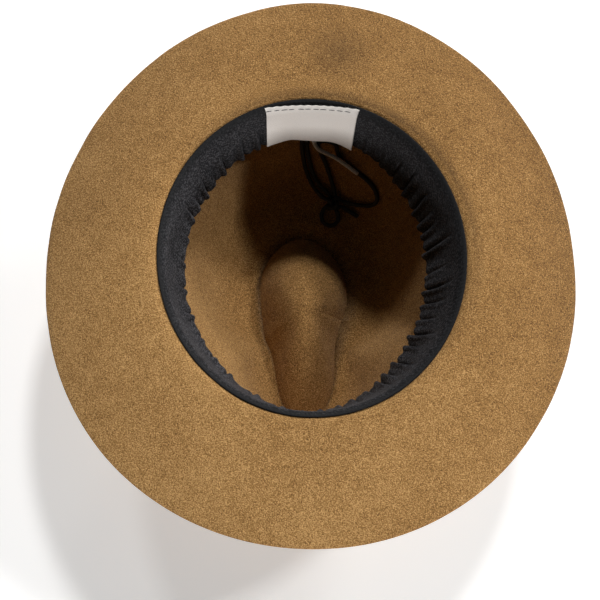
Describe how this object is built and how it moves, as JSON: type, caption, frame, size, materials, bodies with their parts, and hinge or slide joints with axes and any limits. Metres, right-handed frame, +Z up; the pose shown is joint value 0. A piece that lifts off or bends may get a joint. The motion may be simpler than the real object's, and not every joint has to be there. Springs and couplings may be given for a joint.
{
  "type": "wide-brim fedora",
  "caption": "Wide-brim felt hat with a teardrop dented crown, gathered sweatband and drawstring, lying upside down; worn on the head.",
  "frame": {"origin": "on the surface the crown's crest lies on, under the middle of the brim's outline", "axes": "+Z up, out of the crown's mouth, towards the side of the brim that is underneath when worn; -Y the front of the hat; +X the wearer's right"},
  "size_m": [0.3162, 0.3344, 0.108],
  "materials": {
    "felt": "matte tan wool felt",
    "ribbon": "matte black twill ribbon",
    "satin": "soft white woven satin",
    "cord": "matte black braided cord"
  },
  "bodies": {
    "root": {"felt_body": "felt", "sweatband": "ribbon", "label": "satin", "drawstring_left": "cord", "drawstring_right": "cord", "drawstring_big_loop": "cord", "drawstring_small_loop": "cord", "drawstring_tail": "cord", "drawstring_cut_end": "cord", "drawstring_knot": "cord"}
  },
  "joints": []
}
